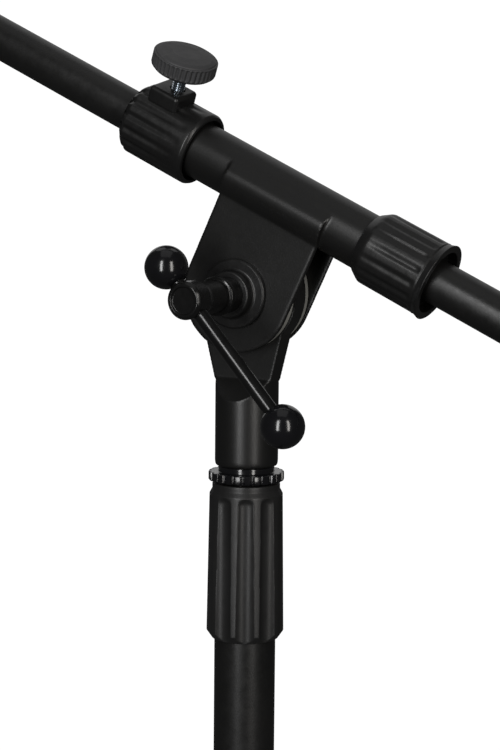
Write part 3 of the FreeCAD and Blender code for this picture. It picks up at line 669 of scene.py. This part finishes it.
def ribbed(count, depth, start, end, fade_in, fade_out, facing=0.0, width=0.5):
    """A shape for lathe(): grooves along the axis that fade out at both ends.

    width is their share of the pitch."""
    def shape(radius, height, angle):
        if not start <= height <= end:
            return radius
        phase = ((angle - facing) / FULL_TURN * count) % 1
        groove = max(0.0, 1 - abs(2 * phase - 1) / width)
        groove = groove * groove * (3 - 2 * groove)
        ease_in = min(1, (height - start) / fade_in)
        ease_out = min(1, (end - height) / fade_out)
        ease = max(0, ease_in) * max(0, ease_out)
        return radius - depth * groove * ease ** 0.5
    return shape


def front_collar():
    """The moulded collar, with ribs that start at its nose and fade towards its open mouth."""
    low, high, _ = span("front_collar", BOOM_PLACE)
    sleeve_low, _, sleeve = span("sleeve", BOOM_PLACE)
    radius, mouth, nose = 16.9 * MM, 14.6 * MM, 2.6 * MM
    seat = high - MOUTH_DEPTH
    corners = [(COLLAR_BORE, low, 0.6 * MM), (radius - nose, low, 2.0 * MM),
               (radius, low + 2.8 * MM, 2.4 * MM), (radius, high - 1.6 * MM, 1.6 * MM),
               (radius - 0.9 * MM, high, 0.9 * MM), (mouth, high, 0.3 * MM), (mouth, seat, 0.2 * MM),
               (sleeve, seat, 0), (sleeve, sleeve_low, 0), (COLLAR_BORE, sleeve_low, 0)]
    ribs = ribbed(COLLAR_RIBS, 1.1 * MM, low - 0.5 * MM, high - 4.5 * MM, 1.0 * MM, 24 * MM,
                  facing=math.radians(11), width=0.7)

    def shape(reach, height, angle):
        return ribs(reach, height, angle) if reach > radius - nose - 0.1 * MM else reach
    mesh = lathe(corners, COLLAR_PLACE, sides=FINE_SIDES, shape=shape, longest=1.0 * MM)
    piece("front_collar_moulded", mesh, "moulded_black", "saddle", "front_collar")


def collar_lug():
    """The rounded block on the front collar that holds the thumbscrew's nut."""
    top = span("front_collar", SCREW_PLACE)[1] + 1.2 * MM
    ahead, behind, bottom = 9.0 * MM, 7.0 * MM, 13.5 * MM
    near, far = 9.5 * MM, 6.5 * MM
    way = 1 if (SCREW_PLACE.to_3x3() @ Vector((0, 1, 0))).dot(SIDEWAYS) > 0 else -1
    mesh = block((-ahead, -way * far, bottom), (behind, way * near, top), SCREW_PLACE)
    bmesh.ops.bevel(mesh, geom=mesh.edges[:], offset=1.8 * MM, segments=5, profile=0.5, affect="EDGES")
    thing = new_object("collar_lug", mesh)
    hole, mouth, sunk, above = 3.2 * MM, 3.9 * MM, top - 3.5 * MM, top + 0.2 * MM
    carve(thing, lathe([(0, sunk, 0), (hole, sunk, 0), (hole, top - 0.5 * MM, 0), (mouth, above, 0),
                        (0, above, 0)], SCREW_PLACE, sides=CURVE_STEPS))
    piece("collar_lug", thing, "moulded_black", "saddle")


def rear_collar():
    """The moulded collar on the sleeve's rear end, with shallow flutes and a lipped mouth."""
    low, high, lip = span("rear_collar", BOOM_PLACE)
    sleeve_high, sleeve = span("sleeve", BOOM_PLACE)[1:]
    radius, mouth, seat = 16.7 * MM, 14.2 * MM, high - MOUTH_DEPTH
    corners = [(sleeve, low, 0.3 * MM), (radius - 3.0 * MM, low, 2.0 * MM),
               (radius - 0.1 * MM, low + 4.6 * MM, 4 * MM), (radius, high - 3.9 * MM, 0.3 * MM),
               (radius - 0.2 * MM, high - 3.2 * MM, 0.4 * MM),
               (lip - 0.5 * MM, high - 1.6 * MM, 0.5 * MM), (lip, high - 0.3 * MM, 0.3 * MM),
               (lip - 0.3 * MM, high, 0.3 * MM), (mouth, high, 0.4 * MM), (mouth, seat, 0.2 * MM),
               (COLLAR_BORE, seat, 0.5 * MM), (COLLAR_BORE, sleeve_high, 0), (sleeve, sleeve_high, 0)]
    flutes = ribbed(COLLAR_RIBS, 0.6 * MM, low + 3.4 * MM, high - 4.6 * MM, 12 * MM, 0.8 * MM,
                    facing=math.radians(18), width=0.7)

    def shape(reach, height, angle):
        return flutes(reach, height, angle) if reach > radius - 0.6 * MM else reach
    mesh = lathe(corners, BOOM_PLACE, sides=FINE_SIDES, shape=shape, longest=1.0 * MM)
    piece("rear_collar_moulded", mesh, "moulded_black", "saddle", "rear_collar")


def clamp_bolt():
    """The carriage bolt: domed head, square neck and shaft."""
    low, high, radius = span("clamp_bolt", CLAMP_PLACE)
    shaft, half = 4.0 * MM, 4.1 * MM
    seat = -CHEEK_OUTER
    corners = [(0, low, 0), (radius * 0.35, low + 0.12 * MM, 2 * MM),
               (radius * 0.7, low + 0.9 * MM, 3 * MM), (radius, seat - 1.2 * MM, 0.8 * MM),
               (radius, seat, 0.3 * MM), (shaft, seat, 0), (shaft, high, 0.6 * MM), (0, high, 0)]
    neck = block((-half, -half, seat - 0.1 * MM), (half, half, -CHEEK_INNER), CLAMP_PLACE)
    mesh = one_mesh([lathe(corners, CLAMP_PLACE, sides=64), neck])
    piece("clamp_bolt_turned", mesh, "bolt_black", "saddle", "clamp_bolt")


# ---------------------------------------------------------------- tilt clamp

def clamp_washer():
    """The thrust washer with its stepped boss."""
    low, high, radius = span("clamp_washer", CLAMP_PLACE)
    boss, step = 10.3 * MM, 14.5 * MM
    corners = [(BOLT_HOLE, low, 0.2 * MM), (radius, low, 0.25 * MM), (radius, step - 0.5 * MM, 0.4 * MM),
               (radius - 0.7 * MM, step, 0.4 * MM), (boss + 0.1 * MM, step, 1.2 * MM),
               (boss, high, 0.8 * MM), (BOLT_HOLE, high, 0.2 * MM)]
    piece("clamp_washer_turned", lathe(corners, CLAMP_PLACE, sides=128), "moulded_black", "thrust",
          "clamp_washer")


def clamp_hub():
    """The hub that tightens the clamp, with the T-bar's hole through its head."""
    low, high, _ = span("clamp_hub", CLAMP_PLACE)
    bore, root, neck, head = 4.05 * MM, 8.0 * MM, 7.3 * MM, 8.2 * MM
    flange, flange_low, flange_high = 8.6 * MM, 27.4 * MM, 29.6 * MM
    shoulder, recess, floor_of_recess = 47.0 * MM, 6.0 * MM, high - 1 * MM
    thread_end = 38 * MM
    corners = [(bore, low, 0.2 * MM), (root, low, 0.5 * MM), (neck, flange_low - 0.8 * MM, 0.8 * MM),
               (flange, flange_low, 0.6 * MM), (flange, flange_high, 0.7 * MM),
               (neck - 0.1 * MM, flange_high + 0.5 * MM, 0.6 * MM),
               (neck - 0.3 * MM, shoulder - 3 * MM, 4 * MM), (neck, shoulder - 0.2 * MM, 0.5 * MM),
               (head, shoulder + 0.8 * MM, 0.8 * MM), (head, high - 1.4 * MM, 1.2 * MM),
               (head - 1.2 * MM, high, 0.9 * MM), (recess, high, 0.35 * MM),
               (recess - 0.3 * MM, floor_of_recess, 0.4 * MM), (0, floor_of_recess, 0),
               (0, thread_end, 0), (bore, thread_end, 0)]
    thing = new_object("clamp_hub_turned", lathe(corners, CLAMP_PLACE, sides=128))
    crossing, bar_hole = place_at(bar_point(), joint_axis("bar_slide"), SIDEWAYS), 3.4 * MM
    carve(thing, lathe(rod_profile(bar_hole, -THROUGH, THROUGH, 0), crossing, sides=64))
    piece("clamp_hub_turned", thing, "bar_black", "clamp_hub", "clamp_hub")


def bar_point():
    """Where the T-bar's axis crosses the clamp's."""
    low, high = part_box("t_bar")
    return Vector((PIVOT.x, (low.y + high.y) / 2, PIVOT.z))


def bar_place():
    """Z along the T-bar, from where its axis crosses the clamp's."""
    return place_at(bar_point(), -joint_axis("bar_slide"), SIDEWAYS)


def t_bar():
    """The T-bar's rod."""
    place = bar_place()
    low, high, radius = span("t_bar", place)
    piece("t_bar_rod", lathe(rod_profile(radius, low, high, 0.5 * MM), place, sides=64),
          "bar_black", "t_bar", "t_bar")


def bar_balls():
    """The balls on the T-bar's ends, each with a small turned land where the rod enters."""
    place = bar_place()
    rod = span("t_bar", place)[2]
    low, high, _ = span("bar_balls", place)
    meshes = []
    radius, steps = 9.4 * MM, 40
    land = math.asin((rod + 0.9 * MM) / radius)
    for end, way in ((low, 1), (high, -1)):
        centre = end + way * radius
        line = []
        for step in range(steps + 1):
            angle = (math.pi - land) * step / steps
            line.append((radius * math.sin(angle), centre - way * radius * math.cos(angle), 0))
        face = centre + way * radius * math.cos(land)
        line += [(rod + 0.3 * MM, face + way * 0.05 * MM, 0), (rod + 0.1 * MM, face - way * 0.5 * MM, 0),
                 (0, face - way * 0.5 * MM, 0)]
        meshes.append(lathe(line, place, sides=64))
    piece("bar_balls_turned", one_mesh(meshes), "gloss_black", "t_bar", "bar_balls")


# ---------------------------------------------------------------- thumbscrew

def thumb_screw():
    """The zinc-plated screw with its thread."""
    low, high, radius = span("thumb_screw", SCREW_PLACE)
    pitch = 1.0 * MM
    shape = thread_shape(pitch, 0.5 * MM, radius, low + 0.5 * MM, high - 0.2 * MM)
    mesh = lathe(rod_profile(radius, low, high, 0.2 * MM), SCREW_PLACE, sides=64, shape=shape,
                 longest=pitch / 8)
    piece("thumb_screw_thread", mesh, "steel_zinc", "thumbscrew", "thumb_screw")


def thumb_knob():
    """The ribbed knob, with a plain low cap."""
    low, high, radius = span("thumb_knob", SCREW_PLACE)
    screw = span("thumb_screw", SCREW_PLACE)
    side, cap = 37.6 * MM, 13.5 * MM
    corners = [(screw[2], low + 1 * MM, 0), (5 * MM, low + 1 * MM, 0.6 * MM), (6 * MM, low, 0.8 * MM),
               (radius - 1.9 * MM, low, 1.3 * MM), (radius, low + 1.8 * MM, 1.2 * MM),
               (radius, side, 0.5 * MM), (cap + 0.15 * MM, side + 0.1 * MM, 0.15 * MM),
               (cap, side + 0.5 * MM, 0.5 * MM), (cap - 1.8 * MM, high - 0.55 * MM, 2 * MM),
               (cap / 2, high, 4 * MM), (0, high, 0), (0, screw[1], 0), (screw[2], screw[1], 0)]
    ribs = ribbed(40, 0.75 * MM, low + 1.6 * MM, side - 0.3 * MM, 1.0 * MM, 0.4 * MM, width=0.85)

    def shape(reach, height, angle):
        return ribs(reach, height, angle) if reach > radius - 1.4 * MM else reach
    mesh = lathe(corners, SCREW_PLACE, sides=400, shape=shape, longest=0.6 * MM)
    piece("thumb_knob_ribbed", mesh, "knob_grey", "thumbscrew", "thumb_knob")


# ---------------------------------------------------------------- yoke and lock ring

def circle(radius, steps):
    """Points of a circle."""
    return [(radius * math.cos(FULL_TURN * step / steps), radius * math.sin(FULL_TURN * step / steps))
            for step in range(steps)]


def yoke():
    """The cast yoke: a round tongue, its neck, and the shank cut away on both sides."""
    flat = place_at(PIVOT, SIDEWAYS, (1, 0, 0))
    low = span("yoke", PIVOT_PLACE)[0]
    tongue, disc, shank = TONGUE_HALF, 26.5 * MM, 14.2 * MM
    shoulder, scallop = -38.4 * MM, -47.6 * MM
    socket, bore = -50.0 * MM, 10.0 * MM
    neck_half, neck_top, overlap = 19.7 * MM, -17.5 * MM, 0.8 * MM
    rows = [(0, socket, 0), (bore, socket, 0), (bore, low, 0.5 * MM), (shank - 0.3 * MM, low, 1.8 * MM),
            (shank, low + 2.5 * MM, 1 * MM), (shank, shoulder, 0), (0, shoulder, 0)]
    wedges = [prism([(way * tongue, shoulder + 0.1 * MM), (way * (shank + 1 * MM), shoulder + 0.1 * MM),
                     (way * (shank + 1 * MM), scallop - 1.0 * MM)], -30 * MM, 30 * MM,
                    place_at(PIVOT, (1, 0, 0), (0, 1, 0))) for way in (1, -1)]
    body = carved(lathe(rows, PIVOT_PLACE, sides=128), *wedges)
    side = 1 if (flat @ Vector((0, 1, 0)) - PIVOT).z > 0 else -1
    neck = [(-shank, side * (shoulder - overlap)), (shank, side * (shoulder - overlap)),
            (neck_half, side * neck_top), (-neck_half, side * neck_top)]
    plate = holed(prism(circle(disc, 128), -tongue, tongue, flat), BOLT_HOLE, flat)
    thing = new_object("yoke_cast", one_mesh([body, prism(neck, -tongue, tongue, flat), plate]))
    melt(thing, 0.45 * MM, 3)
    piece("yoke_cast", thing, "cast_black", "upper", "yoke")


def lock_ring():
    """The notched ring under the yoke."""
    low, high, radius = span("lock_ring", GROUND)
    bore, boss = 10.0 * MM, 12.6 * MM
    top = low + 4.0 * MM
    count, depth = 24, 1.0 * MM
    corners = [(bore, low, 0.3 * MM), (radius, low, 0.6 * MM), (radius, top, 0.5 * MM),
               (boss, top, 0.4 * MM), (boss, high, 0.4 * MM), (bore, high, 0.2 * MM)]

    def shape(reach, height, angle):
        if reach < boss + 1.5 * MM:
            return reach
        phase = (angle / FULL_TURN * count) % 1
        off = abs(2 * phase - 1)
        notch = math.sqrt(max(0, 1 - (off / 0.42) ** 2))
        return reach - depth * notch * (reach - boss) / (radius - boss)
    mesh = lathe(corners, GROUND, sides=count * 16, shape=shape, longest=1.5 * MM)
    piece("lock_ring_notched", mesh, "gloss_black", "upper", "lock_ring")


def inner_tube():
    """The sliding inner tube."""
    low, high, radius = span("inner_tube", GROUND)
    mesh = lathe(tube_profile(radius - UPRIGHT_WALL, radius, low, high, 0.3 * MM), GROUND)
    piece("inner_tube_skin", mesh, "tube_black", "upper", "inner_tube")


def friction_discs():
    """The two friction discs either side of the tongue."""
    meshes = []
    for way in (1, -1):
        corners = tube_profile(4.08 * MM, 25.5 * MM, way * TONGUE_HALF, way * 9.2 * MM, 0.4 * MM)
        meshes.append(lathe(corners, CLAMP_PLACE, sides=128))
    piece("friction_discs_pair", one_mesh(meshes), "friction_grey", "upper", "friction_discs")


# ---------------------------------------------------------------- clutch grip

def clutch_grip():
    """The fluted grip that tightens the clutch."""
    low, high, _ = span("clutch_grip", GROUND)
    neck, shoulder, edge, lip = 15.25 * MM, 16.5 * MM, 17.45 * MM, 15.0 * MM
    neck_low, shoulder_low, edge_low = high - 2.7 * MM, high - 5.0 * MM, high - 68.0 * MM
    bore, cone, thread, skirt = 10.6 * MM, 11.2 * MM, 13.6 * MM, 14.2 * MM
    cone_top, cone_low, thread_low = high - 6.4 * MM, high - 12.4 * MM, high - 26.4 * MM
    corners = [(skirt, low, 0.4 * MM), (lip, low, 0.5 * MM), (edge, edge_low, 1.0 * MM),
               (shoulder, shoulder_low, 0.9 * MM), (neck, neck_low, 0.7 * MM), (neck, high, 0.7 * MM),
               (bore, high, 0.5 * MM), (bore, cone_top, 0), (cone, cone_top, 0),
               (thread, cone_low, 0), (thread, thread_low, 0), (skirt, thread_low, 0)]
    count, cutter, ring = 10, 5.9 * MM, 21.0 * MM
    top = shoulder_low - 0.6 * MM
    facing, end, closing, soft = math.radians(-62), 2.6 * MM, 1.9 * MM, 0.2 * MM
    step = FULL_TURN / count

    def shape(reach, height, angle):
        if reach < lip + 0.05 * MM or not low + 0.3 * MM < height < top:
            return reach
        off = (angle - facing + step / 2) % step - step / 2
        size = cutter
        if height > top - end:
            size = cutter - closing * (1 - math.sqrt(max(0, 1 - ((height - top + end) / end) ** 2)))
        inside = size ** 2 - (ring * math.sin(off)) ** 2
        if inside <= 0:
            return reach
        cut_at = ring * math.cos(off) - math.sqrt(inside)
        mix = max(soft - abs(reach - cut_at), 0) / soft
        return min(reach, cut_at) - mix * mix * soft / 4
    mesh = lathe(corners, GROUND, sides=360, shape=shape, longest=0.8 * MM)
    piece("clutch_grip_fluted", mesh, "grip_black", "grip", "clutch_grip")


def lower_tube():
    """The fixed lower tube."""
    low, high, radius = span("lower_tube", GROUND)
    mesh = lathe(tube_profile(radius - UPRIGHT_WALL, radius, low, high, 0.3 * MM), GROUND)
    piece("lower_tube_skin", mesh, "tube_black", "base", "lower_tube")


# ---------------------------------------------------------------- base and legs

def base_hub():
    """The cast hub: a core on the lower tube and three slotted ears."""
    low, high, _ = span("base_hub", GROUND)
    core, collar, core_top, bore = 24.0 * MM, 18.0 * MM, 116.0 * MM, 13.9 * MM
    web_half = 9.0 * MM
    shapes = [lathe([(bore, low, 0), (core, low, 1.5 * MM), (core, core_top, 2 * MM),
                     (collar, core_top + 3 * MM, 2 * MM), (collar, high, 1.5 * MM),
                     (bore, high, 0)], GROUND)]
    for name in LEGS:
        pin = joint_point(name + "_fold")
        out = Vector((pin.x, pin.y, 0)).normalized()
        flat = place_at((0, 0, 0), joint_axis(name + "_fold"), out)
        up = 1 if (flat.to_3x3() @ Vector((0, 1, 0))).z > 0 else -1
        ear = [(16, 84), (38, 84), (44, 85.5), (48, 90), (48, 106), (44, 110), (16, 112)]
        outline = [(x * MM, up * z * MM) for x, z in ear]
        for way in (1, -1):
            shapes.append(prism(outline, way * EAR_INNER, way * EAR_OUTER, flat))
        corners = [(16, 84), (26, 84), (26, 106.6), (44.6, 106.6), (44, 110), (16, 112)]
        web = [(x * MM, up * z * MM) for x, z in corners]
        shapes.append(prism(web, -web_half, web_half, flat))
    thing = new_object("base_hub_cast", one_mesh(shapes))
    melt(thing, 0.7 * MM, 4)
    piece("base_hub_cast", thing, "cast_black", "base", "base_hub")


def lower_plug():
    """The plug in the lower tube's foot."""
    low, high, radius = span("lower_plug", GROUND)
    inside = span("lower_tube", GROUND)[2] - UPRIGHT_WALL
    seat, groove = span("lower_tube", GROUND)[0], low + 0.8 * MM
    corners = [(0, low, 0), (6 * MM, low, 0), (7 * MM, groove, 0.4 * MM), (9 * MM, groove, 0.4 * MM),
               (10 * MM, low, 0.4 * MM), (radius, low, 1.5 * MM), (radius, seat, 0.4 * MM),
               (inside, seat, 0), (inside, high, 1 * MM), (0, high, 0)]
    piece("lower_plug_moulded", lathe(corners, GROUND), "moulded_black", "base", "lower_plug")


def pin_caps():
    """Domed heads on both ends of each hinge pin."""
    meshes = []
    start, height, radius = EAR_OUTER, 1.5 * MM, 5.0 * MM
    for name in LEGS:
        for way in (1, -1):
            place = place_at(joint_point(name + "_fold"), joint_axis(name + "_fold") * way, UP)
            corners = [(0, start, 0), (radius, start, 0.2 * MM),
                       (radius, start + height * 0.5, 0.8 * MM),
                       (radius * 0.6, start + height * 0.97, 1.5 * MM), (0, start + height, 0)]
            meshes.append(lathe(corners, place, sides=CURVE_STEPS))
    piece("pin_caps_domed", one_mesh(meshes), "steel_zinc", "base", "pin_caps")


def leg_axis(name):
    """A leg's place: its hinge pin, with Z down the leg and Y along the pin."""
    pin = joint_point(name + "_fold")
    low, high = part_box(name + "_tube")
    centre = (low + high) / 2
    return place_at(pin, centre - pin, UP)


def leg_lug(name):
    """The eye on the hinge pin, its neck and its spigot in the leg's tube."""
    place = leg_axis(name)
    flat = place_at(joint_point(name + "_fold"), joint_axis(name + "_fold"), place.to_3x3() @ UP)
    eye, half, radius = 9.5 * MM, 7.9 * MM, 9.0 * MM
    neck, start, end = 14.0 * MM, 20.0 * MM, 45.0 * MM
    spigot, pin_hole, inside = radius - BOOM_WALL, 3.1 * MM, neck - 1 * MM
    first = math.asin(radius / eye)
    angles = [first + (FULL_TURN - 2 * first) * step / CURVE_STEPS for step in range(CURVE_STEPS + 1)]
    outline = [(eye * math.cos(angle), eye * math.sin(angle)) for angle in angles]
    outline += [(neck, -radius), (neck, radius)]
    shapes = [holed(prism(outline, -half, half, flat), pin_hole, flat),
              lathe([(0, inside, 0), (radius, inside, 0), (radius, start, 0), (spigot, start, 0),
                     (spigot, end, 0), (0, end, 0)], place)]
    thing = new_object(name + "_lug_cast", one_mesh(shapes))
    melt(thing, 0.5 * MM, 3)
    piece(name + "_lug_cast", thing, "cast_black", name, name + "_lug")


def leg_tube(name):
    """A leg's tube."""
    place = leg_axis(name)
    low, high, radius = span(name + "_tube", place)
    mesh = lathe(tube_profile(radius - BOOM_WALL, radius, low, high, 0.3 * MM), place)
    piece(name + "_tube_skin", mesh, "tube_black", name, name + "_tube")


def leg_boot(name):
    """A ribbed rubber boot, flat where it meets the floor."""
    place = leg_axis(name)
    low, _, radius = span(name + "_boot", place)
    tube = span(name + "_tube", place)
    tip, ribs, arc = low + 42 * MM, 5, 14
    corners = [(tube[2], low, 0.3 * MM), (radius - 1.3 * MM, low, 0.6 * MM),
               (radius - 0.9 * MM, low + 4 * MM, 0.8 * MM), (radius - 0.2 * MM, low + 5 * MM, 0.8 * MM)]
    for rib in range(ribs):
        at = low + (9 + 4 * rib) * MM
        corners += [(radius, at, 0.4 * MM), (radius - 0.8 * MM, at + 0.9 * MM, 0.5 * MM),
                    (radius - 0.8 * MM, at + 1.6 * MM, 0.5 * MM), (radius, at + 2.5 * MM, 0.4 * MM)]
    for step in range(arc):
        angle = math.pi / 2 * step / arc
        corners.append((radius * math.cos(angle), tip + radius * math.sin(angle), 0))
    corners += [(0, tip + radius, 0), (0, tube[1], 0), (tube[2], tube[1], 0)]
    mesh = lathe(corners, place, longest=1.5 * MM)
    for vertex in mesh.verts:
        vertex.co.z = max(vertex.co.z, 0)
    bmesh.ops.dissolve_degenerate(mesh, dist=0.01 * MM, edges=mesh.edges)
    piece(name + "_boot_ribbed", mesh, "boot_rubber", name, name + "_boot")


# ---------------------------------------------------------------- whole

def plain_nodes():
    """Gives every CAD node that stays in view its finish."""
    slots = {"hinge_pins": "steel_zinc", "clutch_insert": "moulded_black",
             "clutch_collet": "nylon_pale", "guide_bushing": "nylon_pale",
             "tube_stopper": "moulded_black", "bushing_clip": "steel_zinc",
             "boom_liners": "nylon_pale", "captive_nut": "steel_zinc", "pressure_pad": "nylon_pale"}
    for name, node in frame["nodes"].items():
        if node.hide_render:
            continue
        slot = slots[name]
        node.data.materials.clear()
        node.data.materials.append(FINISHES[slot])


def build():
    """Makes every piece of the stand."""
    for make in (boom_tube, mic_adapter, rear_cap, saddle_shell, front_collar, collar_lug, rear_collar,
                 clamp_bolt, clamp_washer, clamp_hub, t_bar, bar_balls, thumb_screw, thumb_knob, yoke,
                 lock_ring, inner_tube, friction_discs, clutch_grip, lower_tube, base_hub, lower_plug,
                 pin_caps):
        make()
    for name in LEGS:
        leg_lug(name)
        leg_tube(name)
        leg_boot(name)
    plain_nodes()


camera()
lights()
world()
floor()
build()
